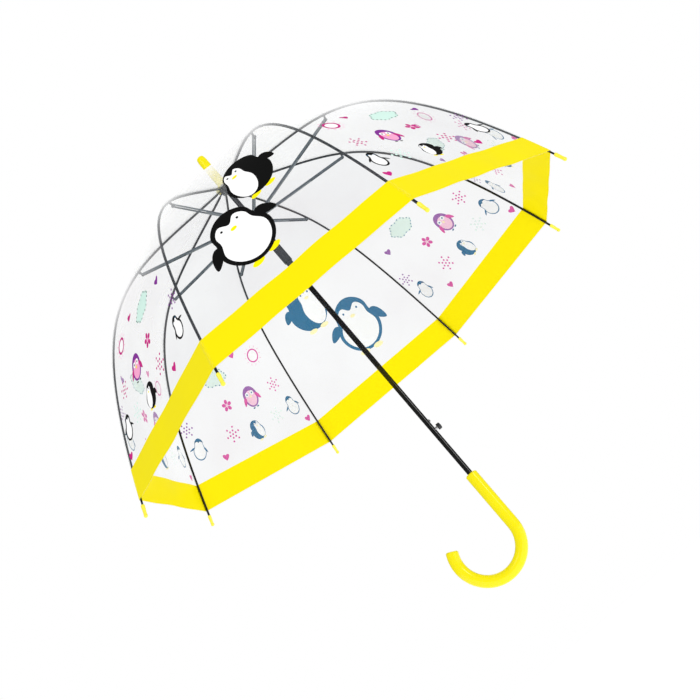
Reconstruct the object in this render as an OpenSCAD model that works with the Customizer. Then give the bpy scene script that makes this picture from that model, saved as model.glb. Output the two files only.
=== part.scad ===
// Children's dome umbrella: eight ribs, a clear film canopy and a crook handle, shown open.
// +Z runs along the shaft to the ferrule, the crook opens towards -X and the button faces +X.
// The origin is on the shaft's axis, at the middle of the handle's straight grip.

/* [Dome] */
// Distance from the shaft's axis to the end of a rib
dome_r = 330; // [280:1:400]
// Height of the middle of the dome above the ends of the ribs
dome_h = 304.3; // [250:0.1:370]
// Height of the ends of the ribs above the middle of the grip
tips_z = 218; // [215:1:260]
// Slope of a rib at the crown, in degrees
crown_slope = 13.8; // [10:0.1:17]
// Slope of a rib at its tip, in degrees
tip_slope = 71.7; // [60:0.1:80]
// How far the crown's slope is carried outwards, in mm
crown_reach = 178.8; // [150:0.1:190]
// How far the tip's slope is carried upwards, in mm
tip_reach = 302.8; // [240:0.1:310]

/* [Film] */
// Thickness of the film
film_t = 0.3; // [0.2:0.05:0.5]
// Gap between a rib's outer corners and the film over it
film_gap = 0.25; // [0.2:0.05:0.6]
// Gap between two neighbouring panels at their seam
seam_gap = 0.2; // [0.1:0.05:0.5]
// Distance from the hem to the end of a rib, along the rib
hem_rise = 21; // [17:0.5:40]
// Distance from the crown to the film's inner edge
film_inset = 2.3; // [2:0.1:5]

/* [Ribs] */
// Width of a rib's channel
rib_w = 2.2; // [2.1:0.1:2.7]
// Depth of a rib's channel
rib_d = 2.2; // [1.8:0.1:2.6]
// Wall of a rib's channel
rib_wall = 0.4; // [0.3:0.05:0.5]
// Share of the rib's curve at which it bends when it folds
knee_at = 0.582; // [0.52:0.001:0.64]
// Share of the rib's curve at which the stretcher is pinned
pivot_at = 0.394; // [0.37:0.001:0.42]
// Depth of the stretcher's pin under the rib
pivot_drop = 6.4; // [5.5:0.1:8]
// Length of the cap on a rib's end
tip_l = 15.5; // [10:0.5:20]
// Diameter of the cap on a rib's end
tip_d = 4.6; // [3.6:0.1:6]

/* [Stretchers] */
// Gap between a rib and each wall of the fork that straddles it
fork_gap = 0.2; // [0.2:0.05:0.6]
// Depth of a stretcher's channel
stretcher_d = 2.8; // [2.6:0.1:3.4]
// Wall of a stretcher's channel
stretcher_wall = 0.5; // [0.4:0.05:0.5]
// Length of the open fork at a stretcher's outer end
fork_l = 60; // [50:1:70]
// Diameter of a rivet's head
rivet_d = 3; // [2.4:0.1:3.4]

/* [Shaft] */
// Outer diameter of the shaft
shaft_d = 6.8; // [6:0.1:8.2]
// Wall of the shaft
shaft_wall = 0.7; // [0.5:0.05:0.8]
// Length of the shaft inside the handle
shaft_in_handle = 45; // [30:1:60]
// Length of the shaft inside the ferrule
shaft_in_ferrule = 22; // [15:1:30]

/* [Runner] */
// Distance from the crown wire down to the runner's wire
runner_drop = 59.6; // [50:0.1:65]
// Length of the runner below its wire
runner_l = 102; // [100:1:104]
// Wall of the runner's fluted body
body_wall = 2.22; // [1.8:0.01:3]
// Wall of the runner's lower sleeve
sleeve_wall = 1.02; // [0.8:0.01:1.6]
// Length of the runner's lower sleeve
sleeve_l = 28.4; // [20:0.1:32]
// Height of the catch's window above the runner's lower end
window_rise = 6.2; // [5:0.1:12]
// Distance from the shaft to the wire that holds the stretchers
ring_gap = 5.1; // [5:0.1:6]
// Rim of the slotted ring outside that wire
rose_rim = 2.5; // [2:0.1:3.5]
// Radial clearance of the runner on the shaft
runner_fit = 0.08; // [0.05:0.01:0.1]

/* [Crown] */
// Distance from the shaft to the wire that holds the ribs
eye_gap = 3.6; // [3.4:0.1:4.2]
// Rim of the slotted crown outside that wire
crown_rim = 1.5; // [1.5:0.1:2.5]
// Overhang of the cap over the film's inner edge
cap_overhang = 2.2; // [2:0.1:8]
// Diameter of the ferrule
ferrule_d = 12; // [9:0.1:14]
// Length of the ferrule, from the cap to its tip
ferrule_l = 52.3; // [40:0.1:70]

/* [Handle] */
// Diameter of the handle
handle_d = 15; // [12:0.5:20]
// Length of the handle's straight grip
grip_l = 74.9; // [70:0.1:110]
// Radius of the crook's centre line
crook_r = 40.5; // [32:0.1:50]
// Angle through which the crook turns
crook_turn = 206.5; // [180:0.5:212]

/* [Button] */
// Height of the button above the middle of the grip
button_z = 104.4; // [95:0.1:105]
// Diameter of the button
button_d = 8.2; // [6:0.1:8.4]
// Travel of the button
button_travel = 2.5; // [2:0.1:2.7]
// Distance from the button up to the catch
catch_rise = 12.8; // [12:0.1:14]
// Height of the catch
catch_h = 4.2; // [3.6:0.1:4.4]

/* [Hidden] */
n_ribs = 8;
numbers = [for (k = [1 : n_ribs]) k];
half = 180 / n_ribs;
$fn = 48;

slack = 0.3;
blade_w = 1;
slot_w = 1.4;
wire_d = 1;
steps = 24;
shaft_r = shaft_d / 2;
bore_r = shaft_r - shaft_wall;
far = 2 * dome_r;

// Crown: the ribs' eyes hang on a wire ring under the cap.
eye_r = shaft_r + eye_gap;
crown_d = 2 * (eye_r + crown_rim);
film_hole_r = crown_d / 2 + film_inset;
cap_d = 2 * (film_hole_r + cap_overhang);
eye_ring = 1.6;
eye_z = tips_z + dome_h - eye_r * tan(crown_slope);
crown_top = eye_z + 3;
crown_h = 8;
cap_t = 2;
cap_top = crown_top + cap_t;
blade_l = 8;

// Runner: the stretchers' eyes hang on a wire ring in its slotted rose.
ring_r = shaft_r + ring_gap;
rose_d = 2 * (ring_r + rose_rim);
runner_d = shaft_d + 2 * (runner_fit + body_wall);
sleeve_d = shaft_d + 2 * (runner_fit + sleeve_wall);
stretcher_w = rib_w + 2 * (fork_gap + stretcher_wall);
ring_eye = stretcher_d / 2;
ring_z = eye_z - runner_drop;
rose_up = 2.5;
rose_down = 4.5;
stretcher_blade = 7;
runner_end = ring_z - runner_l;
pin_d = 1.4;
pin_z = ring_z - 18;

// Handle and shaft.
grip_top = grip_l / 2;
shaft_bottom = grip_top - shaft_in_handle;
shaft_top = cap_top + shaft_in_ferrule;

// Catch and button: they share one leaf spring inside the shaft.
catch_z = button_z + catch_rise;
window_z = runner_end + window_rise;
runner_travel = window_z - catch_z;
catch_out = 1.5;
catch_w = 3;
leaf_x = bore_r - 1.5;
leaf_t = 0.5;
stud_d = 4;
stud_hold = 2;
button_l = 4.8;
button_x = shaft_r + button_travel + slack;
window_play = 0.5;

// The rib's curve is a Bezier curve in the plane through the shaft: [distance from axis, height].
curve = [
    [0, dome_h],
    [crown_reach * cos(crown_slope), dome_h - crown_reach * sin(crown_slope)],
    [dome_r - tip_reach * cos(tip_slope), tip_reach * sin(tip_slope)],
    [dome_r, 0]
];
curve_tip_speed = 3 * tip_reach;
tip_at = 1 - (tip_l + 0.6) / curve_tip_speed;
hem_at = 1 - hem_rise / curve_tip_speed;

function rib_point(t) =
    pow(1 - t, 3) * curve[0] + 3 * pow(1 - t, 2) * t * curve[1]
    + 3 * (1 - t) * t * t * curve[2] + pow(t, 3) * curve[3] + [0, tips_z];
function rib_way(t) =
    let (d = pow(1 - t, 2) * (curve[1] - curve[0]) + 2 * (1 - t) * t * (curve[2] - curve[1])
        + t * t * (curve[3] - curve[2]))
    d / norm(d);
// Points beside the rib's curve: out is positive above and outside the dome.
function beside(t, out) = rib_point(t) + out * [-rib_way(t)[1], rib_way(t)[0]];
function line(t0, t1, out) = [for (i = [0 : steps]) beside(t0 + (t1 - t0) * i / steps, out)];
function band(t0, t1, low, high) =
    concat(line(t0, t1, low), [for (i = [0 : steps]) line(t0, t1, high)[steps - i]]);

knee = rib_point(knee_at);
pivot = beside(pivot_at, -pivot_drop);
rib_start = (eye_r + blade_l) / (3 * crown_reach * cos(crown_slope));
blade_end = rib_start + 0.01;
knuckle = 0.008;
film_start = film_hole_r / (3 * crown_reach * cos(crown_slope));
film_low = rib_d / 2 + rib_w / 2 * tan(half) + film_gap;
film_half = 0.1;

stretcher_vector = pivot - [ring_r, ring_z];
stretcher_l = norm(stretcher_vector);
stretcher_tilt = atan2(stretcher_vector[1], stretcher_vector[0]);

function rib_azimuth(k) = (k - 1) * 2 * half - half;
function panel_azimuth(k) = (k - 1) * 2 * half;

// A flat shape drawn as [distance from axis, height], stood up at an azimuth and made width thick.
module stand(azimuth, width) {
    rotate([0, 0, azimuth])
        rotate([90, 0, 0])
            linear_extrude(height = width, center = true)
                children();
}

module tube(outer_r, inner_r, z0, z1) {
    translate([0, 0, z0])
        difference() {
            cylinder(r = outer_r, h = z1 - z0);
            translate([0, 0, -1])
                cylinder(r = inner_r, h = z1 - z0 + 2);
        }
}

module ring(radius, thickness, z) {
    translate([0, 0, z])
        rotate_extrude()
            translate([radius, 0])
                circle(d = thickness, $fn = 24);
}

// One slot for each rib, from a radius outwards.
module slots(inner_r, z0, z1) {
    for (k = numbers)
        rotate([0, 0, rib_azimuth(k)])
            translate([inner_r, -slot_w / 2, z0])
                cube([crown_d + rose_d, slot_w, z1 - z0]);
}

// Round steel tube with the pin's slot at the back and the catch's and button's holes in front.
module shaft() {
    color("#141416")
        difference() {
            tube(shaft_r, bore_r, shaft_bottom, shaft_top);
            translate([-pin_d / 2 - 0.1, 0, pin_z - runner_travel - pin_d])
                cube([pin_d + 0.2, shaft_d, runner_travel + 2 * pin_d]);
            translate([0, -catch_w / 2 - slack, catch_z - catch_h / 2 - slack])
                cube([shaft_d, catch_w + 2 * slack, catch_h + 2 * slack]);
            translate([0, 0, button_z])
                rotate([0, 90, 0])
                    cylinder(d = stud_d + 2 * slack, h = shaft_d, $fn = 24);
        }
}

// Turned plastic point that clamps the cap down on the crown.
module ferrule() {
    flange_r = ferrule_d / 2 + 2.2;
    flange_h = 2;
    nose_l = 6;
    nose_r = ferrule_d / 2 - 0.8;
    fillet = 1.5;
    r = ferrule_d / 2;
    color("#f7e600")
        translate([0, 0, cap_top])
            rotate_extrude()
                polygon(concat(
                    [[0, shaft_in_ferrule], [shaft_r, shaft_in_ferrule], [shaft_r, 0], [flange_r, 0]],
                    [[flange_r, flange_h], [r, flange_h + 1], [r, ferrule_l - nose_l]],
                    [[nose_r, ferrule_l - fillet]],
                    [for (a = [15 : 15 : 75])
                        [nose_r - fillet + fillet * cos(a), ferrule_l - fillet + fillet * sin(a)]],
                    [[0, ferrule_l]]
                ));
}

// Shallow plastic cap over the film's inner edge.
module top_cap() {
    drop = tan(crown_slope) * (cap_d / 2 - crown_d / 2);
    rim = 0.8;
    color("#f7e600")
        translate([0, 0, crown_top])
            rotate_extrude()
                polygon([
                    [shaft_r, 0], [crown_d / 2 + 0.4, 0], [cap_d / 2, -drop], [cap_d / 2, rim - drop],
                    [crown_d / 2 + 0.4, cap_t - 0.8], [eye_r, cap_t], [shaft_r, cap_t]
                ]);
}

// Slotted plastic crown, fixed on the shaft, with a wire ring through the ribs' eyes.
module crown_notch() {
    color("#1a1a1c")
        difference() {
            tube(crown_d / 2, shaft_r, crown_top - crown_h, crown_top);
            slots(eye_r - eye_ring - slack, crown_top - crown_h - 1, eye_z + eye_ring + slack);
            ring(eye_r, wire_d, eye_z);
        }
}

module crown_wire() {
    color("#8d8f94")
        ring(eye_r, wire_d, eye_z);
}

// Extension spring in the top of the shaft: round wire swept along a helix.
module opening_spring() {
    spring_wire = 0.6;
    coil_r = bore_r - spring_wire / 2 - 0.1;
    sides = 6;
    turn_steps = 12;
    turns = 16;
    z0 = pin_z + pin_d / 2 + spring_wire;
    pitch = (shaft_top - spring_wire / 2 - z0) / turns;
    last = turns * turn_steps;
    points = [for (i = [0 : last], j = [0 : sides - 1])
        let (a = 360 * i / turn_steps, b = 360 * j / sides, r = coil_r + spring_wire / 2 * cos(b))
        [r * cos(a), r * sin(a), z0 + pitch * i / turn_steps + spring_wire / 2 * sin(b)]];
    walls = [for (i = [0 : last - 1], j = [0 : sides - 1])
        let (next = (j + 1) % sides, a = i * sides, b = (i + 1) * sides)
        [a + j, a + next, b + next, b + j]];
    ends = [[for (j = [0 : sides - 1]) sides - 1 - j], [for (j = [0 : sides - 1]) last * sides + j]];
    color("#9a9ca1")
        polyhedron(points = points, faces = concat(walls, ends));
}

// Crook of round plastic bar: a straight grip, then an arc that ends flat with a rounded edge.
module handle() {
    r = handle_d / 2;
    chamfer = 1.5;
    rounding = 2.5;
    root = 1;
    color("#f7e600")
        difference() {
            union() {
                translate([0, 0, -grip_l / 2])
                    rotate_extrude()
                        polygon([[0, 0], [r, 0], [r, grip_l - chamfer], [r - chamfer, grip_l], [0, grip_l]]);
                translate([-crook_r, 0, -grip_l / 2])
                    rotate([-90, 0, 0])
                        rotate_extrude(angle = crook_turn)
                            translate([crook_r, 0])
                                circle(r = r);
                translate([-crook_r, 0, -grip_l / 2])
                    rotate([0, crook_turn, 0])
                        translate([crook_r, 0, 0])
                            rotate([180, 0, 0])
                                rotate_extrude()
                                    polygon(concat(
                                        [[0, -root], [r - root / 2, -root], [r - root / 2, 0]],
                                        [for (a = [0 : 15 : 90])
                                            [r - rounding + rounding * cos(a), rounding * sin(a)]],
                                        [[0, rounding]]
                                    ));
            }
            translate([0, 0, shaft_bottom])
                cylinder(r = shaft_r, h = grip_l);
        }
}

// Plastic slider: slotted rose on top, fluted body, plain sleeve with a window for the catch.
module runner() {
    inner = shaft_r + runner_fit;
    flute_r = 1.2;
    flute_in = 0.5;
    window_h = catch_h + 2 * window_play;
    color("#1a1a1c")
        difference() {
            union() {
                tube(rose_d / 2, inner, ring_z - rose_down, ring_z + rose_up);
                difference() {
                    tube(runner_d / 2, inner, runner_end + sleeve_l, ring_z - rose_down);
                    for (k = numbers)
                        rotate([0, 0, rib_azimuth(k)])
                            translate([runner_d / 2 + flute_r - flute_in, 0, runner_end + sleeve_l + 6])
                                cylinder(r = flute_r, h = runner_l - sleeve_l - rose_down - 12, $fn = 24);
                }
                tube(sleeve_d / 2, inner, runner_end, runner_end + sleeve_l);
            }
            slots(ring_r - ring_eye - slack, ring_z - ring_eye - 0.5, ring_z + rose_up + 1);
            ring(ring_r, wire_d, ring_z);
            translate([0, -catch_w / 2 - window_play, window_z - window_h / 2])
                cube([sleeve_d, catch_w + 2 * window_play, window_h]);
            translate([0, 0, pin_z])
                rotate([-90, 0, 0])
                    cylinder(d = pin_d, h = runner_d, $fn = 24);
        }
}

module runner_wire() {
    color("#8d8f94")
        ring(ring_r, wire_d, ring_z);
}

// Pin through the runner's wall and the shaft's slot, which pulls on the spring.
module runner_pin() {
    color("#8d8f94")
        translate([0, -bore_r / 2, pin_z])
            rotate([-90, 0, 0])
                cylinder(d = pin_d, h = bore_r / 2 + runner_d / 2, $fn = 24);
}

// Round plastic button with a domed face, pressed on the spring's stud.
module release_button() {
    r = button_d / 2;
    rounding = 1.4;
    color("#1a1a1c")
        translate([button_x, 0, button_z])
            rotate([0, 90, 0])
                rotate_extrude()
                    polygon(concat(
                        [[stud_d / 2, 0], [r - slack, 0], [r, slack]],
                        [for (a = [0 : 15 : 75])
                            [r - rounding + rounding * cos(a), button_l - rounding + rounding * sin(a)]],
                        [[0, button_l + slack], [0, stud_hold], [stud_d / 2, stud_hold]]
                    ));
}

// Steel leaf inside the shaft with the catch's nose bent out of it and the button's stud riveted on.
module catch_spring() {
    overhang = 8;
    nose_slope = 2;
    nose_x = shaft_r + catch_out;
    z0 = button_z - overhang;
    color("#8d8f94")
        union() {
            translate([leaf_x, -catch_w / 2, z0])
                cube([leaf_t, catch_w, catch_z + catch_h / 2 - z0]);
            rotate([90, 0, 0])
                linear_extrude(height = catch_w, center = true)
                    polygon([
                        [leaf_x + leaf_t, catch_z - catch_h / 2], [nose_x, catch_z - catch_h / 2],
                        [nose_x, catch_z + catch_h / 2 - nose_slope], [shaft_r, catch_z + catch_h / 2],
                        [leaf_x + leaf_t, catch_z + catch_h / 2]
                    ]);
            translate([leaf_x, 0, button_z])
                rotate([0, 90, 0])
                    cylinder(d = stud_d, h = button_x + stud_hold - leaf_x);
        }
}

// Inner length of a rib: an eye on a flat blade, a channel, the stretcher's lug and the knee's tongue.
module rib_upper(k) {
    lug_w = 4;
    neck_w = lug_w - 0.8;
    flat_d = rib_d - 0.4;
    color("#141416")
        union() {
            difference() {
                stand(rib_azimuth(k), blade_w)
                    union() {
                        translate([eye_r, eye_z])
                            circle(r = eye_ring, $fn = 24);
                        polygon([
                            [eye_r, eye_z - flat_d / 2], beside(blade_end, -flat_d / 2),
                            beside(blade_end, flat_d / 2), [eye_r, eye_z + flat_d / 2]
                        ]);
                    }
                rotate([0, 0, rib_azimuth(k)])
                    translate([eye_r, 0, eye_z])
                        rotate([90, 0, 0])
                            cylinder(d = wire_d + 0.16, h = 2 * slot_w, center = true, $fn = 24);
            }
            difference() {
                union() {
                    stand(rib_azimuth(k), rib_w)
                        polygon(band(rib_start, knee_at - knuckle, -rib_d / 2, rib_d / 2));
                    stand(rib_azimuth(k), rib_w)
                        difference() {
                            union() {
                                translate(pivot)
                                    circle(d = lug_w, $fn = 24);
                                translate(pivot)
                                    rotate(atan2(rib_way(pivot_at)[1], rib_way(pivot_at)[0]))
                                        translate([-neck_w / 2, 0])
                                            square([neck_w, pivot_drop - rib_d / 4]);
                            }
                            translate(pivot)
                                circle(d = lug_w / 2.5, $fn = 24);
                        }
                }
                stand(rib_azimuth(k), rib_w - 2 * rib_wall)
                    polygon(band(blade_end, pivot_at - 0.01, -rib_d, rib_d / 2 - rib_wall));
                stand(rib_azimuth(k), rib_w - 2 * rib_wall)
                    polygon(band(pivot_at + 0.01, knee_at - 2 * knuckle, -rib_d, rib_d / 2 - rib_wall));
            }
            stand(rib_azimuth(k), blade_w)
                union() {
                    polygon([
                        beside(knee_at - 2.5 * knuckle, -flat_d / 2), knee - [0, flat_d / 2],
                        knee + [0, flat_d / 2], beside(knee_at - 2.5 * knuckle, flat_d / 2)
                    ]);
                    translate(knee)
                        circle(d = rib_d, $fn = 24);
                }
        }
}

// Outer length of a rib: a channel whose walls straddle the knee's tongue, and a round tang.
module rib_lower(k) {
    tang_l = 6;
    cheek_gap = blade_w + 0.4;
    color("#141416")
        union() {
            difference() {
                stand(rib_azimuth(k), rib_w)
                    union() {
                        polygon(band(knee_at, tip_at, -rib_d / 2, rib_d / 2));
                        translate(knee)
                            circle(d = rib_d, $fn = 24);
                    }
                stand(rib_azimuth(k), cheek_gap)
                    translate(knee)
                        circle(d = 2 * rib_d, $fn = 24);
                stand(rib_azimuth(k), rib_w - 2 * rib_wall)
                    polygon(band(knee_at + knuckle, tip_at - knuckle, -rib_d, rib_d / 2 - rib_wall));
            }
            at_tip(k)
                translate([0, 0, -0.5])
                    cylinder(r = blade_w * 0.8, h = tang_l + 0.5, $fn = 24);
        }
}

// Places a piece along the rib's last straight stretch: +Z runs from the rib out to its end.
module at_tip(k) {
    way = rib_way(1);
    rotate([0, 0, rib_azimuth(k)])
        translate([dome_r, 0, tips_z] - tip_l * [way[0], 0, way[1]])
            rotate([0, 90 - atan2(way[1], way[0]), 0])
                children();
}

// Plastic cap with a ball end on the rib's tang.
module rib_tip(k) {
    r = tip_d / 2;
    neck = 0.4;
    tang_r = blade_w * 0.8;
    tang_l = 6;
    color("#f7e600")
        at_tip(k)
            rotate_extrude()
                polygon(concat(
                    [[0, tang_l], [tang_r, tang_l], [tang_r, 0.1], [r - neck, 0.1], [r, 1.5]],
                    [[r - neck, tip_l - 2 * r]],
                    [for (a = [-15 : 15 : 75]) [r * cos(a), tip_l - r + r * sin(a)]],
                    [[0, tip_l]]
                ));
}

// Channel from the runner's wire to the rib: a flat blade, a web and an open fork with rivet heads.
module stretcher(k) {
    head_t = 0.6;
    gap = stretcher_w - 2 * stretcher_wall;
    web = 0.5;
    color("#141416")
        rotate([0, 0, rib_azimuth(k)])
            translate([ring_r, 0, ring_z])
                rotate([0, -stretcher_tilt, 0])
                    rotate([90, 0, 0])
                        union() {
                            linear_extrude(height = blade_w, center = true)
                                difference() {
                                    union() {
                                        circle(r = ring_eye, $fn = 24);
                                        translate([0, -stretcher_d / 2])
                                            square([stretcher_blade + 4, stretcher_d]);
                                    }
                                    circle(d = wire_d + 0.16, $fn = 24);
                                }
                            linear_extrude(height = stretcher_w, center = true)
                                translate([stretcher_blade, -stretcher_d / 2])
                                    square([4, stretcher_d]);
                            linear_extrude(height = gap, center = true)
                                translate([stretcher_blade, -stretcher_d / 2])
                                    square([stretcher_l - fork_l - stretcher_blade, web]);
                            for (side = [-1, 1])
                                translate([0, 0, side * (stretcher_w - stretcher_wall) / 2])
                                    linear_extrude(height = stretcher_wall, center = true)
                                        union() {
                                            translate([stretcher_blade, -stretcher_d / 2])
                                                square([stretcher_l - stretcher_blade, stretcher_d]);
                                            translate([stretcher_l, 0])
                                                circle(d = stretcher_d, $fn = 24);
                                        }
                            for (side = [-1, 1])
                                translate([stretcher_l, 0, side * (stretcher_w + head_t) / 2])
                                    cylinder(d = rivet_d, h = head_t, center = true, $fn = 24);
                        }
}

// One length of a panel: a curved strip of film, trimmed to the wedge between two ribs.
module panel(k, t0, t1) {
    seam_shift = seam_gap / 2 / sin(half);
    color("#dfe6e8", 0.35)
        intersection() {
            rotate([0, 0, panel_azimuth(k)])
                rotate([90, 0, 0])
                    linear_extrude(height = far, center = true)
                        polygon([for (p = band(t0, t1, film_low, film_low + film_t)) [p[0] * cos(half), p[1]]]);
            rotate([0, 0, panel_azimuth(k)])
                linear_extrude(height = far)
                    polygon([[seam_shift, 0], [far, -far * tan(half)], [far, far * tan(half)]]);
        }
}

module panel_upper(k) {
    panel(k, film_start, knee_at - film_half / curve_tip_speed);
}

module panel_lower(k) {
    panel(k, knee_at + film_half / curve_tip_speed, hem_at);
}

shaft();
ferrule();
top_cap();
crown_notch();
crown_wire();
opening_spring();
handle();
runner();
runner_wire();
runner_pin();
release_button();
catch_spring();
for (k = numbers) {
    rib_upper(k);
    rib_lower(k);
    rib_tip(k);
    stretcher(k);
    panel_upper(k);
    panel_lower(k);
}
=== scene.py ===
"""A child's clear dome umbrella, shown open: printed film over eight black steel ribs, and a yellow crook."""
from math import radians

import bpy
import numpy as np
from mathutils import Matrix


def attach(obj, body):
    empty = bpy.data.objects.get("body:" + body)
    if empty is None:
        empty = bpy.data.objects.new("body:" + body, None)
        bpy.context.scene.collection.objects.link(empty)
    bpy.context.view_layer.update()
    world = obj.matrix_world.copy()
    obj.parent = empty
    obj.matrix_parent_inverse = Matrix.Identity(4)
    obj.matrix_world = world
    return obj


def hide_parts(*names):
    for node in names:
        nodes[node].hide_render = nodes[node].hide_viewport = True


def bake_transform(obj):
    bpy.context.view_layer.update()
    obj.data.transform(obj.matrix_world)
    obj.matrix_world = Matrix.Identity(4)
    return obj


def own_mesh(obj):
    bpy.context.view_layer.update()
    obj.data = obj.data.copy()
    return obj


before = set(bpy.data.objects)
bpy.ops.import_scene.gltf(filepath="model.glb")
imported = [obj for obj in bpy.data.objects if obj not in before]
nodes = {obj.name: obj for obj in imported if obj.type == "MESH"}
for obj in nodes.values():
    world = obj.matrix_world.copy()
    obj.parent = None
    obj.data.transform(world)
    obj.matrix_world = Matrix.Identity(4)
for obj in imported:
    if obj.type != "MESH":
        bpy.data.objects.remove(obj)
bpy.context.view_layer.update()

# Camera. It stands below the rim and looks up into the dome, rolled so that the shaft leans across
# the picture from the lower right to the upper left.
camera_data = bpy.data.cameras.new("camera")
camera_data.lens = 53.465
camera_data.sensor_width = 36
camera_data.clip_end = 20
camera = bpy.data.objects.new("camera", camera_data)
camera.location = (-0.0189, -1.2337, -0.0849)
camera.rotation_euler = (radians(109.484), radians(38.808), radians(12.247))
bpy.context.scene.collection.objects.link(camera)
bpy.context.scene.camera = camera

# Room. A white floor far under the crook, a white sky that lights softly from all round but is dim in
# reflections, and three large lamps: a key over the camera, one on the button's side and one behind.
scene = bpy.context.scene
scene.view_settings.view_transform = "Standard"
scene.view_settings.look = "None"
scene.cycles.transparent_max_bounces = 32
world = bpy.data.worlds.new("white_sky")
scene.world = world
world.use_nodes = True
sky_tree = world.node_tree
sky_tree.nodes.clear()
sky_ray = sky_tree.nodes.new("ShaderNodeLightPath")
sky_shader = None
for seen_by, strength in ((None, 0.95), ("Is Glossy Ray", 0.25), ("Is Camera Ray", 1.0)):
    sky = sky_tree.nodes.new("ShaderNodeBackground")
    sky.inputs["Color"].default_value = (1, 1, 1, 1)
    sky.inputs["Strength"].default_value = strength
    if sky_shader:
        sky_mix = sky_tree.nodes.new("ShaderNodeMixShader")
        sky_tree.links.new(sky_ray.outputs[seen_by], sky_mix.inputs["Fac"])
        sky_tree.links.new(sky_shader.outputs[0], sky_mix.inputs[1])
        sky_tree.links.new(sky.outputs[0], sky_mix.inputs[2])
        sky = sky_mix
    sky_shader = sky
sky_out = sky_tree.nodes.new("ShaderNodeOutputWorld")
sky_tree.links.new(sky_shader.outputs[0], sky_out.inputs["Surface"])


def lamp(name, place, target, size, power):
    """A square area lamp at place that faces target; power is in watts."""
    data = bpy.data.lights.new(name, "AREA")
    data.shape = "SQUARE"
    data.size = size
    data.energy = power
    obj = bpy.data.objects.new(name, data)
    away = np.array(place) - np.array(target)
    obj.location = place
    obj.rotation_euler = (
        np.arctan2(np.hypot(away[0], away[1]), away[2]), 0, np.arctan2(away[1], away[0]) + np.pi / 2)
    scene.collection.objects.link(obj)


middle = (0, 0, 0.3)
lamp("key_lamp", (-0.9, -2.2, 1.9), middle, 1.0, 8)
lamp("side_lamp", (1.9, -1.9, 0.5), middle, 0.6, 10)
lamp("rim_lamp", (0.4, 2.4, 1.6), middle, 1.2, 5)


def put(name, points, faces, colours=None, smooth=True):
    """One mesh object at the origin from points and faces; colours gives each face's material number."""
    mesh = bpy.data.meshes.new(name)
    mesh.from_pydata(np.asarray(points, float).tolist(), [], [list(map(int, f)) for f in faces])
    mesh.update()
    if smooth:
        mesh.polygons.foreach_set("use_smooth", np.ones(len(mesh.polygons), bool))
    if colours is not None:
        mesh.polygons.foreach_set("material_index", np.asarray(colours, np.int32))
    obj = bpy.data.objects.new(name, mesh)
    scene.collection.objects.link(obj)
    return obj


floor_z = -0.9
floor_half = 9.0
corners = [(-1, -1), (1, -1), (1, 1), (-1, 1)]
floor = put("floor", [(floor_half * x, floor_half * y, floor_z) for x, y in corners], [(0, 1, 2, 3)])
floor_paint = bpy.data.materials.new("floor_paint")
floor_paint.use_nodes = True
floor_shader = floor_paint.node_tree.nodes["Principled BSDF"]
floor_shader.inputs["Base Color"].default_value = (0.93, 0.93, 0.93, 1)
floor_shader.inputs["Roughness"].default_value = 0.9
floor_shader.inputs["Emission Color"].default_value = (1, 1, 1, 1)
floor_shader.inputs["Emission Strength"].default_value = 0.4
floor.data.materials.append(floor_paint)

# Fine wear. Every moulded and painted surface has the same faint mottling, so it is one node group:
# a mask of soft noise at a given scale, and a bump height from a finer noise.
mottle = bpy.data.node_groups.new("mottle", "ShaderNodeTree")
mottle.interface.new_socket("Scale", in_out="INPUT", socket_type="NodeSocketFloat")
mottle.interface.new_socket("Grain", in_out="INPUT", socket_type="NodeSocketFloat")
mottle.interface.new_socket("Mask", in_out="OUTPUT", socket_type="NodeSocketFloat")
mottle.interface.new_socket("Height", in_out="OUTPUT", socket_type="NodeSocketFloat")
group_in = mottle.nodes.new("NodeGroupInput")
group_out = mottle.nodes.new("NodeGroupOutput")
group_place = mottle.nodes.new("ShaderNodeTexCoord")
for output, scale_from in (("Mask", "Scale"), ("Height", "Grain")):
    noise = mottle.nodes.new("ShaderNodeTexNoise")
    noise.inputs["Detail"].default_value = 3
    mottle.links.new(group_place.outputs["Object"], noise.inputs["Vector"])
    mottle.links.new(group_in.outputs[scale_from], noise.inputs["Scale"])
    mottle.links.new(noise.outputs["Fac"], group_out.inputs[output])


def finish_of(name, dark, light, rough, scale=60, grain=600, bump=0.008, metal=0.0, coat=0.0, gloss=0.5):
    """A painted or moulded material: its colour drifts from dark to light and its roughness by a tenth."""
    material = bpy.data.materials.new(name)
    material.use_nodes = True
    tree = material.node_tree
    shader = tree.nodes["Principled BSDF"]
    shader.inputs["Metallic"].default_value = metal
    shader.inputs["Coat Weight"].default_value = coat
    shader.inputs["Coat Roughness"].default_value = 0.1
    shader.inputs["Specular IOR Level"].default_value = gloss
    drift = tree.nodes.new("ShaderNodeGroup")
    drift.node_tree = mottle
    drift.inputs["Scale"].default_value = scale
    drift.inputs["Grain"].default_value = grain
    blend_colour = tree.nodes.new("ShaderNodeMix")
    blend_colour.data_type = "RGBA"
    blend_colour.inputs["A"].default_value = (*dark, 1)
    blend_colour.inputs["B"].default_value = (*light, 1)
    tree.links.new(drift.outputs["Mask"], blend_colour.inputs["Factor"])
    tree.links.new(blend_colour.outputs["Result"], shader.inputs["Base Color"])
    spread = tree.nodes.new("ShaderNodeMapRange")
    spread.inputs["To Min"].default_value = rough - 0.05
    spread.inputs["To Max"].default_value = rough + 0.05
    tree.links.new(drift.outputs["Mask"], spread.inputs["Value"])
    tree.links.new(spread.outputs["Result"], shader.inputs["Roughness"])
    relief = tree.nodes.new("ShaderNodeBump")
    relief.inputs["Strength"].default_value = bump
    relief.inputs["Distance"].default_value = 0.0002
    tree.links.new(drift.outputs["Height"], relief.inputs["Height"])
    tree.links.new(relief.outputs["Normal"], shader.inputs["Normal"])
    return material


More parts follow.
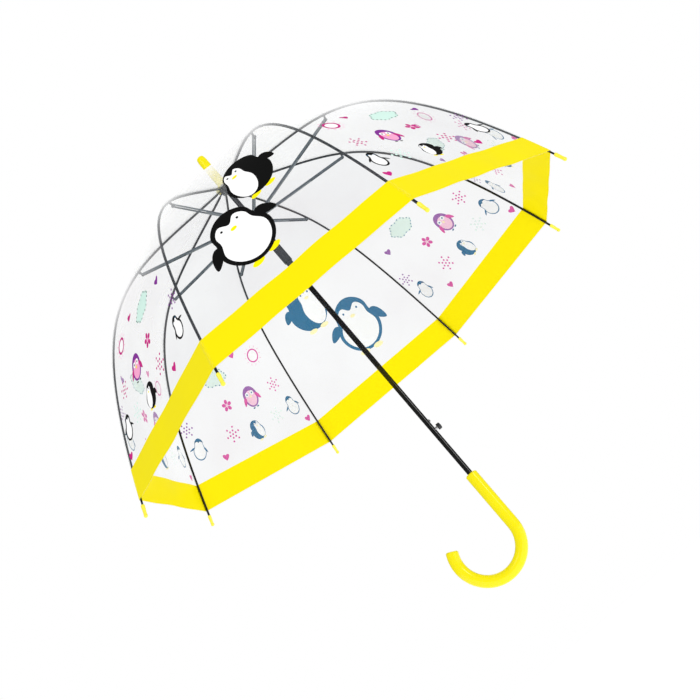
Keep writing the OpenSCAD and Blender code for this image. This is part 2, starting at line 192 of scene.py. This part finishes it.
def dress(names, material):
    """Gives each of these frame nodes one material."""
    for name in names:
        mesh = nodes[name].data
        mesh.materials.clear()
        mesh.materials.append(material)


# Handle, ferrule and cap. Yellow moulded plastic with a high gloss; the crook is one bent bar
# pushed over the end of the shaft, and the ferrule clamps the cap down on the crown.
yellow_plastic = finish_of("yellow_plastic", (0.79, 0.67, 0.0), (0.86, 0.78, 0.0), 0.2,
                           scale=14, coat=0.15, gloss=0.25)
dress(["handle", "ferrule", "top_cap"], yellow_plastic)

# Shaft. One straight steel tube with glossy black stove paint; the handle, crown and ferrule are
# pressed on it, and the runner slides on it.
black_paint = finish_of("black_paint", (0.002, 0.002, 0.002), (0.005, 0.005, 0.005), 0.12, coat=0.3, gloss=0.3)
dress(["shaft"], black_paint)

# Stretchers. Thin channels pressed from steel strip and left in a blue-grey phosphate finish. Each
# one is threaded on the runner's wire and is riveted to its rib by a fork.
rib_numbers = range(1, 9)
grey_steel = finish_of("grey_steel", (0.045, 0.062, 0.075), (0.085, 0.11, 0.13), 0.38, scale=120)
dress([f"stretcher_{k}" for k in rib_numbers], grey_steel)

# Crown, runner and button. Black moulded plastic, a little duller than the paint. The crown is fixed
# near the shaft's top, the runner slides below it, and the button is pressed on the leaf spring's stud.
black_plastic = finish_of("black_plastic", (0.011, 0.012, 0.014), (0.022, 0.023, 0.027), 0.36)
dress(["crown_notch", "runner", "release_button"], black_plastic)

# Wires, pin, spring and catch. Bare spring steel: the wires are threaded through the eyes of the ribs
# and stretchers, and the spring and the catch lie in the shaft.
bright_steel = finish_of("bright_steel", (0.42, 0.42, 0.44), (0.6, 0.6, 0.62), 0.3, metal=1.0)
dress(["crown_wire", "runner_wire", "runner_pin", "opening_spring", "catch_spring"], bright_steel)

# Rib tips. Pale yellow plastic caps, moulded and pushed on the ends of the ribs below the hem, so that
# no cut steel is left bare.
tip_plastic = finish_of("tip_plastic", (0.86, 0.74, 0.02), (0.97, 0.86, 0.06), 0.3, coat=0.4)
dress([f"rib_{k}_tip" for k in rib_numbers], tip_plastic)

# Ribs. Each is one springy steel channel, bent from the crown wire to its tip and painted black. The
# curve is a cubic Bezier in the plane through the shaft, as in the frame; lengths are in metres.
eighth = radians(45)
half_angle = eighth / 2
dome_r = 0.330
tips_z = 0.218
crown_z = tips_z + 0.3043
crown_slope, crown_reach = radians(13.8), 0.1788
tip_slope, tip_reach = radians(71.7), 0.3028
rib_curve = np.array([
    (0, crown_z),
    (crown_reach * np.cos(crown_slope), crown_z - crown_reach * np.sin(crown_slope)),
    (dome_r - tip_reach * np.cos(tip_slope), tips_z + tip_reach * np.sin(tip_slope)),
    (dome_r, tips_z)])
knee_at = 0.582
pivot_at = 0.394
tip_l, hem_rise = 0.0155, 0.021
tip_at = 1 - tip_l / (3 * tip_reach)
hem_at = 1 - hem_rise / (3 * tip_reach)


def along_rib(t):
    """Points and unit outward normals of the rib's curve at shares t, as (distance from axis, height)."""
    t = np.asarray(t, float)[..., None]
    a, b, c, d = rib_curve
    point = (1 - t) ** 3 * a + 3 * (1 - t) ** 2 * t * b + 3 * (1 - t) * t ** 2 * c + t ** 3 * d
    way = (1 - t) ** 2 * (b - a) + 2 * (1 - t) * t * (c - b) + t ** 2 * (d - c)
    way /= np.linalg.norm(way, axis=-1, keepdims=True)
    return point, np.stack([-way[..., 1], way[..., 0]], -1)


def turned(azimuth, radial, across, height):
    """Points in the row frame from distance along an azimuth, distance across it and height."""
    c, s = np.cos(azimuth), np.sin(azimuth)
    radial, across, height = np.broadcast_arrays(radial, across, height)
    return np.stack([radial * c - across * s, radial * s + across * c, height], -1)


def grid_faces(rows, columns, wrap=False):
    """Quads of a grid of points numbered row by row; wrap joins the last column to the first."""
    i = np.arange(rows - 1)[:, None]
    j = np.arange(columns if wrap else columns - 1)[None, :]
    n = (j + 1) % columns
    this_row, next_row = i * columns, (i + 1) * columns
    return np.stack([this_row + j, this_row + n, next_row + n, next_row + j], -1).reshape(-1, 4)


rib_w, rib_d, rib_wall = 0.0022, 0.0022, 0.0004
rib_corner = 0.00035
rib_rows = 72
rib_start = 0.0283
eye_r = 0.007
eye_z = crown_z - eye_r * np.tan(crown_slope)


def channel(azimuth):
    """A U section, open inwards, carried along the rib's curve; both ends are closed by a face."""
    t = np.linspace(rib_start, tip_at, rib_rows)
    point, normal = along_rib(t)
    inner = rib_w / 2 - rib_wall
    low, high, web = -rib_d / 2, rib_d / 2, rib_d / 2 - rib_wall
    across = np.array([-rib_w / 2, -inner, -inner, inner, inner, rib_w / 2, rib_w / 2, rib_w / 2 - rib_corner,
                       rib_corner - rib_w / 2, -rib_w / 2])
    out = np.array([low, low, web, web, low, low, high - rib_corner, high, high, high - rib_corner])
    radial = point[:, :1] + normal[:, :1] * out
    height = point[:, 1:] + normal[:, 1:] * out
    points = turned(azimuth, radial, across[None, :], height).reshape(-1, 3)
    n = len(across)
    faces = [list(f) for f in grid_faces(len(t), n, wrap=True)]
    faces += [list(range(n))[::-1], list(range((len(t) - 1) * n, len(t) * n))]
    return points, faces


def plate(azimuth, outline, thick):
    """A flat plate in the rib's plane: an outline of (distance from axis, height) pushed out to both sides."""
    outline = np.asarray(outline, float)
    n = len(outline)
    sides = [turned(azimuth, outline[:, 0], side * thick / 2, outline[:, 1]) for side in (-1, 1)]
    faces = [list(range(n)), list(range(2 * n - 1, n - 1, -1))]
    faces += [[j, n + j, n + (j + 1) % n, (j + 1) % n] for j in range(n)]
    return np.concatenate(sides), faces


def arc(centre, radius, start, turn, count):
    """Points on a circle about centre from an angle, through a turn, in radians."""
    a = start + turn * np.linspace(0, 1, count)
    return np.asarray(centre) + radius * np.stack([np.cos(a), np.sin(a)], -1)


def joined(parts):
    """Several (points, faces) as one."""
    points, faces, base = [], [], 0
    for some, these in parts:
        points.append(np.asarray(some))
        faces += [[i + base for i in f] for f in these]
        base += len(some)
    return np.concatenate(points), faces


def rib(k):
    """Channel, eye blade on the crown wire and lug for the stretcher, as one piece."""
    azimuth = (k - 1) * eighth - half_angle
    start, start_out = along_rib(rib_start + 0.004)
    blade_half, blade_t, eye_ring = 0.0009, 0.001, 0.0016
    way = np.arctan2(start[1] - eye_z, start[0] - eye_r)
    blade = np.concatenate([
        arc((eye_r, eye_z), eye_ring, way + 0.6, 2 * np.pi - 1.2, 18),
        [start - start_out * blade_half, start + start_out * blade_half]])
    lug_r, drop = 0.002, 0.0064
    pin, pin_out = along_rib(pivot_at)
    centre = pin - pin_out * drop
    down = np.arctan2(-pin_out[1], -pin_out[0])
    lug = np.concatenate([
        arc(centre, lug_r, down - np.pi / 2 - 0.3, np.pi + 0.6, 14),
        [pin + pin_out * 0.0002 + lug_r * 0.8 * np.array([-pin_out[1], pin_out[0]]),
         pin + pin_out * 0.0002 - lug_r * 0.8 * np.array([-pin_out[1], pin_out[0]])]])
    points, faces = joined([channel(azimuth), plate(azimuth, blade, blade_t), plate(azimuth, lug, rib_w)])
    piece = put(f"rib_{k}", points, faces, smooth=False)
    piece.data.materials.append(black_paint)
    return piece, azimuth


bend_half = 0.03
for k in rib_numbers:
    piece, azimuth = rib(k)
    (before, after), _ = along_rib([knee_at - bend_half, knee_at + bend_half])
    turned(azimuth, before[0], 0, before[1]).tolist()
    turned(azimuth, after[0], 0, after[1]).tolist()
    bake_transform(piece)
    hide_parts(f"rib_{k}_upper", f"rib_{k}_lower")

# Film. Eight panels of clear soft plastic, cut flat and welded edge to edge along the ribs. Each one is
# curved only down its middle, and here it is two sheets that meet at the ribs' knees.
film_gap, film_half = 0.00025, 0.00015
film_out = rib_d / 2 + rib_w / 2 * np.tan(half_angle) + film_gap + film_half
film_start_r = 0.0108
profile_t = np.linspace(film_start_r / (3 * crown_reach * np.cos(crown_slope)), hem_at, 1200)
profile_point, profile_normal = along_rib(profile_t)
profile = profile_point + profile_normal * film_out
profile[:, 0] *= np.cos(half_angle)
profile_s = np.concatenate([[0], np.cumsum(np.linalg.norm(np.diff(profile, axis=0), axis=1))])
profile_s += film_start_r * np.cos(half_angle)
knee_s = np.interp(knee_at, profile_t, profile_s)
start_s, hem_s = profile_s[0], profile_s[-1]
profile_way = np.gradient(profile, profile_s, axis=0)
profile_way /= np.linalg.norm(profile_way, axis=1, keepdims=True)
profile_out = np.stack([-profile_way[:, 1], profile_way[:, 0]], -1)


def half_width(s):
    """Half the width of a panel at distance s down its middle."""
    return np.interp(s, profile_s, profile[:, 0]) * np.tan(half_angle)


low_wave, drawn_wave = 0.0004, 0.0006


def ripple(k, x, s):
    """How far the film stands off its true surface: a sum of low sine waves down the panel and drawn ones
    across it, times a share that fades to nothing at the seams and at the knee.
    """
    share = np.clip(x / half_width(s), -1, 1)
    calm = (1 - share ** 2) * np.clip(np.abs(s - knee_s) / 0.05, 0, 1)
    wave = np.sin(31 * s + 4 * share + 1.7 * k) + 0.6 * np.sin(67 * s - 9 * share + 2.9 * k)
    drawn = np.sin(9 * share * (1 + 0.3 * np.sin(k)) + 0.8 * k) * np.clip((s - knee_s) / 0.2, 0, 1)
    return low_wave * calm * wave + drawn_wave * calm * drawn


def on_panel(k, x, s, out=0.0):
    """Points in the row frame at x across panel k and s down its middle, a distance out from the film."""
    out = ripple(k, x, s) + out
    radial = np.interp(s, profile_s, profile[:, 0]) + out * np.interp(s, profile_s, profile_out[:, 0])
    height = np.interp(s, profile_s, profile[:, 1]) + out * np.interp(s, profile_s, profile_out[:, 1])
    return turned((k - 1) * eighth, radial, x, height)


film_columns = 41


def film_sheet(name, k, rows, colours):
    """A sheet of panel k: a grid with rows at these distances down, each strip between them in one colour."""
    s = np.asarray(rows)[:, None]
    x = np.linspace(-1, 1, film_columns)[None, :] * half_width(s)
    points = on_panel(k, x, np.broadcast_to(s, x.shape)).reshape(-1, 3)
    return put(name, points, grid_faces(len(rows), film_columns)[:, ::-1], np.repeat(colours, film_columns - 1))


def fold(piece, k, part):
    """The piece rides on one length of panel k."""
    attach(piece, f"panel_{k}_{part}")
    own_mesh(piece)


def film_of(name, thin, glare_share):
    """Clear film: it takes a share, thin, of the light behind it, and up to milk of it where seen edge on.

    Where seen edge on it turns white: this is painted reflection of the white room, as the film's own gloss is
    turned off. The painted reflection is full near the crown; down at the hem it keeps a fifth of that.
    """
    material = bpy.data.materials.new(name)
    material.use_nodes = True
    tree = material.node_tree
    shader = tree.nodes["Principled BSDF"]
    shader.inputs["Roughness"].default_value = 0.12
    shader.inputs["Specular IOR Level"].default_value = 0.0
    haze = tree.nodes.new("ShaderNodeGroup")
    haze.node_tree = mottle
    haze.inputs["Scale"].default_value = 9
    haze.inputs["Grain"].default_value = 45
    edge_on = tree.nodes.new("ShaderNodeLayerWeight")
    edge_on.inputs["Blend"].default_value = 0.5

    def maths(operation, a, b):
        """The output of a clamped Math node on two numbers or sockets."""
        node = tree.nodes.new("ShaderNodeMath")
        node.operation = operation
        node.use_clamp = True
        for socket, value in zip(node.inputs, (a, b)):
            if isinstance(value, (int, float)):
                socket.default_value = value
            else:
                tree.links.new(value, socket)
        return node.outputs[0]

    def colour_mix(share, first, second):
        """The output of a Mix node that goes from the first colour to the second by a share."""
        node = tree.nodes.new("ShaderNodeMix")
        node.data_type = "RGBA"
        tree.links.new(share, node.inputs["Factor"])
        for name, value in (("A", first), ("B", second)):
            if isinstance(value, tuple):
                node.inputs[name].default_value = (*value, 1)
            else:
                tree.links.new(value, node.inputs[name])
        return node.outputs["Result"]

    place = tree.nodes.new("ShaderNodeTexCoord")
    height = tree.nodes.new("ShaderNodeSeparateXYZ")
    tree.links.new(place.outputs["Object"], height.inputs["Vector"])
    # Painted reflection: where the film is seen edge on it is made white, in a share that is full near the
    # crown and a fifth at the hem.
    crown_share = tree.nodes.new("ShaderNodeMapRange")
    for socket, value in (("From Min", 0.38), ("From Max", 0.45), ("To Min", 0.2), ("To Max", 1.0)):
        crown_share.inputs[socket].default_value = value
    tree.links.new(height.outputs["Z"], crown_share.inputs["Value"])
    cloudy = maths("MULTIPLY", haze.outputs["Mask"], 2 * thin)
    edge_glare = maths("MULTIPLY", maths("POWER", edge_on.outputs["Facing"], 3), glare_share)
    edge_glare = maths("MULTIPLY", edge_glare, crown_share.outputs["Result"])
    cover = maths("ADD", cloudy, edge_glare)
    tint = colour_mix(haze.outputs["Mask"], (0.16, 0.33, 0.36), (0.36, 0.24, 0.30))
    colour = colour_mix(maths("DIVIDE", edge_glare, cover), tint, (1.0, 1.0, 1.0))
    tree.links.new(cover, shader.inputs["Alpha"])
    tree.links.new(colour, shader.inputs["Base Color"])
    relief = tree.nodes.new("ShaderNodeBump")
    relief.inputs["Strength"].default_value = 0.25
    relief.inputs["Distance"].default_value = 0.002
    tree.links.new(haze.outputs["Height"], relief.inputs["Height"])
    tree.links.new(relief.outputs["Normal"], shader.inputs["Normal"])
    return material


def ink_of(name, colour, from_inside):
    """Printing ink with a slight grain; from the film's inner side it shows in a second colour."""
    material = finish_of(name, [c * 0.97 for c in colour], colour, 0.4,
                         scale=25, grain=700, bump=0.01, gloss=0.05)
    tree = material.node_tree
    shader = tree.nodes["Principled BSDF"]
    outside = shader.inputs["Base Color"].links[0].from_socket
    side = tree.nodes.new("ShaderNodeNewGeometry")
    both = tree.nodes.new("ShaderNodeMix")
    both.data_type = "RGBA"
    both.inputs["B"].default_value = (*from_inside, 1)
    tree.links.new(side.outputs["Backfacing"], both.inputs["Factor"])
    tree.links.new(outside, both.inputs["A"])
    tree.links.new(both.outputs["Result"], shader.inputs["Base Color"])
    return material


# The clear film's white where seen edge on is painted reflection.
clear_film = film_of("clear_film", 0.1, 0.85)
band_ink = ink_of("band_ink", (0.84, 0.72, 0.0), (0.86, 0.73, 0.0))
band_w = 0.0377
band_edge = 0.0012
upper_rows = np.linspace(start_s, knee_s, 40)
lower_rows = np.concatenate([np.linspace(knee_s, hem_s - band_w, 41),
                             np.linspace(hem_s - band_w, hem_s - band_edge, 9)[1:], [hem_s]])
unprinted = np.zeros(len(upper_rows) - 1, int)
in_band = (lower_rows[:-1] > hem_s - band_w - band_edge / 2) & (lower_rows[:-1] < hem_s - 2 * band_edge)
for k in rib_numbers:
    for part, rows, colours in (("upper", upper_rows, unprinted), ("lower", lower_rows, in_band)):
        piece = film_sheet(f"film_{k}_{part}", k, rows, colours)
        piece.data.materials.append(clear_film)
        piece.data.materials.append(band_ink)
        fold(piece, k, part)
        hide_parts(f"panel_{k}_{part}")

# Seams. Where two panels are welded together over a rib, the doubled film makes a narrow strip,
# bent along its middle to lie on both panels. Its white where seen edge on is painted reflection, a glare
# streak along the rib.
seam_half = 0.0022
seam_lift = 0.00025
# This film's white where seen edge on is painted reflection, a glare streak along each seam.
seam_glare_film = film_of("seam_glare_film", 0.03, 0.3)


def seam(azimuth):
    """A strip of three edges that follows the rib's curve from the film's inner edge to the hem."""
    t = np.linspace(profile_t[0] + 0.002, hem_at - 0.0005, 90)
    point, normal = along_rib(t)
    lift = film_out + seam_lift
    across = seam_half * np.array([-1, 0, 1])
    radial = point[:, :1] + normal[:, :1] * lift - np.abs(across) * np.tan(half_angle)
    height = point[:, 1:] + normal[:, 1:] * lift
    return turned(azimuth, radial, across[None, :], height).reshape(-1, 3), grid_faces(len(t), 3)[:, ::-1]


for k in rib_numbers:
    azimuth = (k - 1) * eighth - half_angle
    piece = put(f"seam_{k}", *seam(azimuth))
    piece.data.materials.append(seam_glare_film)
    (before, after), _ = along_rib([knee_at - bend_half, knee_at + bend_half])
    turned(azimuth, before[0], 0, before[1]).tolist()
    turned(azimuth, after[0], 0, after[1]).tolist()
    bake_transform(piece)

# Prints. Small pictures printed in opaque ink on the outside of each panel: two large penguins on the
# front and back panels, and a scatter of suns, hearts, flakes, clouds, flowers and birds on the others.
inks = {
    "black": ink_of("black_ink", (0.005, 0.005, 0.005), (0.035, 0.16, 0.30)),
    "white": ink_of("white_ink", (0.93, 0.93, 0.93), (0.90, 0.91, 0.92)),
    "yellow": ink_of("yellow_ink", (0.96, 0.80, 0.0), (0.95, 0.88, 0.5)),
    "magenta": ink_of("magenta_ink", (0.55, 0.014, 0.21), (0.70, 0.10, 0.38)),
    "pink": ink_of("pink_ink", (0.87, 0.36, 0.58), (0.90, 0.58, 0.72)),
    "purple": ink_of("purple_ink", (0.22, 0.025, 0.29), (0.34, 0.14, 0.42)),
    "mint": ink_of("mint_ink", (0.62, 0.84, 0.76), (0.74, 0.87, 0.82)),
}
ink_numbers = {name: i for i, name in enumerate(inks)}
print_out = 0.00014
layer_out = 0.00006


def round_trip(count):
    """Angles once round, from the top and clockwise."""
    return np.arange(count) * 2 * np.pi / count


def disc(x, y, rx, ry, tilt=0.0, count=20):
    """An ellipse's outline about (x, y), turned by tilt in radians; y runs down the panel."""
    a = round_trip(count)
    u, v = rx * np.sin(a), -ry * np.cos(a)
    return np.stack([x + u * np.cos(tilt) - v * np.sin(tilt), y + u * np.sin(tilt) + v * np.cos(tilt)], -1)


def leaf(x, y, length, width, tilt):
    """A leaf's outline from a round root at (x, y) to a point a length away along tilt."""
    a = round_trip(28)
    u = length * (1 - np.cos(a)) / 2
    v = -width * np.sin(a) * (0.75 + 0.25 * np.cos(a))
    return np.stack([x + u * np.cos(tilt) - v * np.sin(tilt), y + u * np.sin(tilt) + v * np.cos(tilt)], -1)


def between(ink, inner, outer, rings=4, level=0):
    """Fill between two outlines of equal count, in rings; an inner outline of one point fills the whole."""
    share = np.linspace(0, 1, rings + 1)[:, None, None]
    points = (1 - share) * np.asarray(inner) + share * np.asarray(outer)
    return ink, level, points.reshape(-1, 2), grid_faces(rings + 1, len(outer), wrap=True)


def filled(ink, outline, rings=3, level=0):
    """The whole inside of an outline."""
    middle = np.broadcast_to(outline.mean(0), outline.shape) * 0.999 + outline * 0.001
    return between(ink, middle, outline, rings, level)


def line_round(ink, outline, width, level=0):
    """A line of a given width along the inside of an outline."""
    way = np.roll(outline, -1, 0) - np.roll(outline, 1, 0)
    way /= np.linalg.norm(way, axis=1, keepdims=True)
    inside = outline + width * np.stack([-way[:, 1], way[:, 0]], -1)
    return between(ink, inside, outline, 1, level)


def penguin(height, belly_side=0.0, belly_width=1.0, flippers=((1, 0.75, 0.30), (-1, 2.2, 0.34))):
    """A penguin: an egg with a narrower neck, a white front with a peak, flippers, beak, feet and two eyes."""
    a = round_trip(56)
    from_top = np.abs((a + np.pi) % (2 * np.pi) - np.pi)
    neck = 0.06 * np.exp(-((from_top - 1.3) / 0.3) ** 2)
    coat = height * np.stack([(0.39 - 0.03 * np.cos(a) - neck) * np.sin(a), -0.5 * np.cos(a)], -1)
    peak = 0.15 * np.exp(-(from_top / 0.3) ** 2)
    front = height * np.stack([belly_side + belly_width * (0.33 - 0.03 * np.cos(a) - neck) * np.sin(a),
                               0.015 - 0.43 * np.cos(a) + peak], -1)
    parts = [between("black", front, coat, 4), filled("white", front, 6)]
    for side, tilt, reach in flippers:
        root = height * np.array([side * 0.31, -0.12])
        parts.append(filled("black", leaf(*root, reach * height, 0.1 * height, tilt), 3, 1))
    for side in (-1, 1):
        eye = height * np.array([belly_side + side * 0.13 * belly_width, -0.26])
        parts.append(filled("black", disc(*eye, 0.017 * height, 0.02 * height), 1, 2))
        foot = height * np.array([side * 0.13, 0.5])
        parts.append(filled("yellow", disc(*foot, 0.09 * height, 0.045 * height), 2, -1))
    beak = height * np.array([belly_side, -0.16])
    parts.append(filled("yellow", disc(*beak, 0.045 * height, 0.03 * height), 1, 2))
    return parts


def turning_penguin(height):
    """The same penguin with its front turned to one side, so that more of its back shows."""
    return penguin(height, -0.13, 0.62, ((1, 0.9, 0.28),))


def outline_penguin(height):
    """The same penguin drawn with one line, under a cap with an arch over each eye."""

    def edge(a):
        """The coat's edge at an angle from the top: an ellipse, wider low down, less a bell-shaped dip at the
        neck.
        """
        from_top = np.abs((a + np.pi) % (2 * np.pi) - np.pi)
        neck = 0.07 * np.exp(-((from_top - 1.22) / 0.3) ** 2)
        return height * np.stack([(0.33 - 0.05 * np.cos(a) - neck) * np.sin(a), -0.5 * np.cos(a)], -1)

    coat = edge(round_trip(40))
    parts = [line_round("black", coat, 0.075 * height), filled("white", coat * 0.9, 3, -1)]
    crown = edge(np.linspace(-0.95, 0.95, 21))
    rise = 1 + 0.25 * np.abs(np.sin(np.linspace(0, 2 * np.pi, 21)))
    arches = crown[-1] * np.stack([np.linspace(1, -1, 21), rise], -1)
    cap = np.concatenate([crown, arches[1:-1]])
    parts.append(filled("black", cap, 2, 1))
    for side, tilt in ((1, 0.5), (-1, 2.2)):
        flipper = leaf(side * 0.24 * height, -0.08 * height, 0.3 * height, 0.05 * height, tilt)
        parts.append(filled("black", flipper, 2, 1))
    return parts


def heart(ink, size):
    """A heart of a given height: the classic sine-cubed curve."""
    a = round_trip(28)
    u = size * 0.6 * np.sin(a) ** 3
    v = -size * (0.5 * np.cos(a) - 0.2 * np.cos(2 * a) - 0.07 * np.cos(3 * a))
    return [filled(ink, np.stack([u, v], -1), 2)]


def flake(ink, size):
    """A snowflake of dots: a middle one and six arms of two."""
    parts = [filled(ink, disc(0, 0, 0.07 * size, 0.07 * size, count=8), 1)]
    for arm in np.arange(6) * np.pi / 3:
        for reach in (0.24, 0.48):
            x, y = size * (reach * np.cos(arm)), size * (reach * np.sin(arm))
            parts.append(filled(ink, disc(x, y, 0.07 * size, 0.07 * size, count=8), 1))
    return parts


def flower(ink, middle_ink, size):
    """A flower of five round petals about a disc."""
    parts = [filled(middle_ink, disc(0, 0, 0.13 * size, 0.13 * size, count=14), 1, 1)]
    for arm in np.arange(5) * 2 * np.pi / 5 - np.pi / 2:
        x, y = 0.3 * size * np.cos(arm), 0.3 * size * np.sin(arm)
        parts.append(filled(ink, disc(x, y, 0.19 * size, 0.15 * size, arm, 16), 1))
    return parts


def cloud(width):
    """A cloud with a bumpy edge, and a dark dotted line just inside it."""
    a = round_trip(60)
    edge = 1 + 0.18 * np.abs(np.sin(3 * a))
    shape = np.stack([width * 0.43 * edge * np.sin(a), -width * 0.25 * edge * np.cos(a)], -1)
    parts = [filled("mint", shape, 4)]
    for x, y in shape[::3] * 0.94:
        parts.append(filled("black", disc(x, y, 0.022 * width, 0.022 * width, count=6), 1, 1))
    return parts


def sun(size):
    """A plain sun: a thick ring round a pale disc, with dotted rays."""
    ring = disc(0, 0, 0.32 * size, 0.32 * size, count=30)
    parts = [line_round("magenta", ring, 0.09 * size), filled("white", ring * 0.8, 2, -1)]
    for arm in np.arange(12) * np.pi / 6:
        x, y = 0.43 * size * np.cos(arm), 0.43 * size * np.sin(arm)
        parts.append(filled("pink", disc(x, y, 0.05 * size, 0.025 * size, arm, 8), 1))
    return parts


def chick(size):
    """A round bird from the front: purple coat, pink front, two wings, a beak and two eyes."""
    coat = disc(0, 0, 0.34 * size, 0.42 * size, count=36)
    front = disc(0, 0.06 * size, 0.25 * size, 0.3 * size, count=36)
    parts = [between("purple", front, coat, 3), filled("pink", front, 4)]
    for side in (-1, 1):
        wing = leaf(side * 0.26 * size, -0.05 * size, 0.34 * size, 0.09 * size, np.pi / 2 - side * 0.5)
        eye_x, eye_y = side * 0.12 * size, -0.12 * size
        parts.append(filled("magenta", wing, 2, 1))
        parts.append(filled("white", disc(eye_x, eye_y, 0.09 * size, 0.09 * size, count=14), 1, 1))
        parts.append(filled("black", disc(eye_x, eye_y, 0.035 * size, 0.035 * size, count=8), 1, 2))
        foot = disc(side * 0.1 * size, 0.45 * size, 0.06 * size, 0.03 * size, count=8)
        parts.append(filled("black", foot, 1))
    parts.append(filled("yellow", disc(0, 0, 0.045 * size, 0.05 * size, count=8), 1, 2))
    return parts


def placed(parts, x, s, tilt):
    """A picture moved to x across and s down a panel, and turned by tilt degrees."""
    c, d = np.cos(radians(tilt)), np.sin(radians(tilt))
    turn = np.array([[c, d], [-d, c]])
    return [(ink, level, points @ turn + [x, s], faces) for ink, level, points, faces in parts]


def hero_print():
    """Two large penguins: one that faces out and waves, and one above it that turns aside."""
    return placed(penguin(0.086), -0.022, 0.340, -9) + placed(turning_penguin(0.074), 0.022, 0.271, -6)


def small_prints():
    """The scatter of small pictures."""
    pictures = [
        (sun(0.032), -0.060, 0.283, 0), (heart("magenta", 0.009), -0.024, 0.270, 10),
        (cloud(0.046), 0.020, 0.290, -8), (heart("purple", 0.009), 0.070, 0.295, -15),
        (chick(0.038), -0.028, 0.336, 6), (flower("magenta", "pink", 0.018), 0.017, 0.333, 0),
        (flake("magenta", 0.022), 0.028, 0.373, 10), (flake("magenta", 0.020), -0.075, 0.334, 25),
        (flake("purple", 0.020), 0.095, 0.340, 0), (flake("mint", 0.022), -0.057, 0.377, 15),
        (outline_penguin(0.031), -0.091, 0.374, 12), (outline_penguin(0.031), 0.089, 0.371, -18),
        (turning_penguin(0.030), -0.014, 0.383, 14),
        (heart("magenta", 0.009), -0.107, 0.402, 12), (heart("magenta", 0.009), 0.055, 0.397, -10)]
    return [part for parts, x, s, tilt in pictures for part in placed(parts, x, s, tilt)]


def shown_through(pictures):
    """Pictures with each upper layer laid again under the lowest one, so that it shows from inside too."""
    under = {1: -1.5, 2: -2}
    return pictures + [(ink, under[level], flat, these) for ink, level, flat, these in pictures if level > 0]


for k in rib_numbers:
    points, faces, colours, base = [], [], [], 0
    for ink, level, flat, these in shown_through(hero_print() if k in (3, 7) else small_prints()):
        points.append(on_panel(k, flat[:, 0], flat[:, 1], print_out + layer_out * level))
        faces.append(these + base)
        colours += [ink_numbers[ink]] * len(these)
        base += len(flat)
    piece = put(f"prints_{k}", np.concatenate(points), np.concatenate(faces), colours)
    for material in inks.values():
        piece.data.materials.append(material)
    fold(piece, k, "lower")
